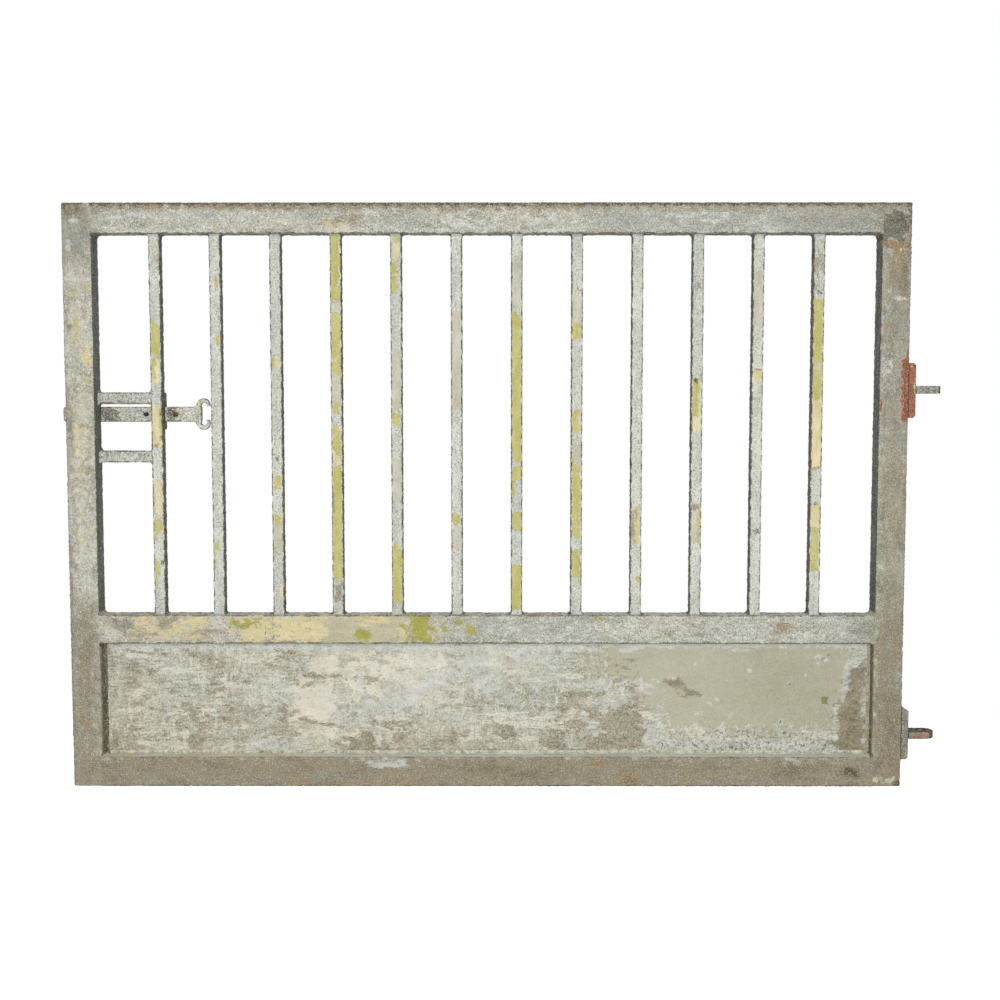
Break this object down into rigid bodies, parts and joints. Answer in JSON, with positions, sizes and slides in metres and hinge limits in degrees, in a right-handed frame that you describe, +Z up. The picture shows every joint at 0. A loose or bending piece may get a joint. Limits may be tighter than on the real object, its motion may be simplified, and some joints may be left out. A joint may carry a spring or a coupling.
{
  "type": "pedestrian gate",
  "caption": "Barred metal pedestrian gate leaf with a solid kick panel, a sliding flat bolt with a scroll handle, and two hinge lugs that drop over pintles.",
  "frame": {"origin": "on the hinge axis, at the underside of the lower hinge lug, where the gate's weight rests on its pintle", "axes": "+X across the leaf from the latch side to the hinge side, +Y from the front face to the back, +Z up"},
  "size_m": [1.479, 0.0525, 0.98],
  "materials": {
    "frame_metal": "old zinc coating with worn paint, dirt and rust stains",
    "bar_metal": "pale zinc coating with flaking yellow-green and cream paint",
    "panel_sheet": "olive-taupe paint worn through to mottled zinc, with brown stains",
    "weld_metal": "dull coated weld beads with dirt in the corners",
    "bolt_metal": "cream and green paint worn to grey steel where it slides",
    "rusty_steel": "dark rust",
    "guide_metal": "dark weathered coating",
    "red_primer": "matt red-oxide primer, worn",
    "hinge_metal": "dull grey steel with primer and rust"
  },
  "bodies": {
    "leaf": {"latch_stile": "frame_metal", "hinge_stile": "frame_metal", "top_rail": "frame_metal", "mid_rail": "frame_metal", "bottom_rail": "frame_metal", "bar_01": "bar_metal", "bar_02": "bar_metal", "bar_03": "bar_metal", "bar_04": "bar_metal", "bar_05": "bar_metal", "bar_06": "bar_metal", "bar_07": "bar_metal", "bar_08": "bar_metal", "bar_09": "bar_metal", "bar_10": "bar_metal", "bar_11": "bar_metal", "bar_12": "bar_metal", "latch_crossbar_upper": "bar_metal", "latch_crossbar_lower": "bar_metal", "kick_panel": "panel_sheet", "top_rail_welds": "weld_metal", "mid_rail_welds": "weld_metal", "frame_corner_welds": "weld_metal", "crossbar_welds": "weld_metal", "kick_panel_weld": "weld_metal", "bolt_guide": "guide_metal", "hinge_pad_upper": "red_primer", "hinge_pad_lower": "frame_metal", "hinge_lug_upper": "hinge_metal", "hinge_lug_lower": "hinge_metal"},
    "bolt": {"slide_bolt": "bolt_metal", "bolt_stop_outer": "rusty_steel", "bolt_stop_inner": "rusty_steel"}
  },
  "joints": [
    {"name": "bolt_slide", "type": "slide", "parent": "leaf", "child": "bolt", "axis": [-1, 0, 0], "range_m": [-0.0084, 0.0135]}
  ]
}
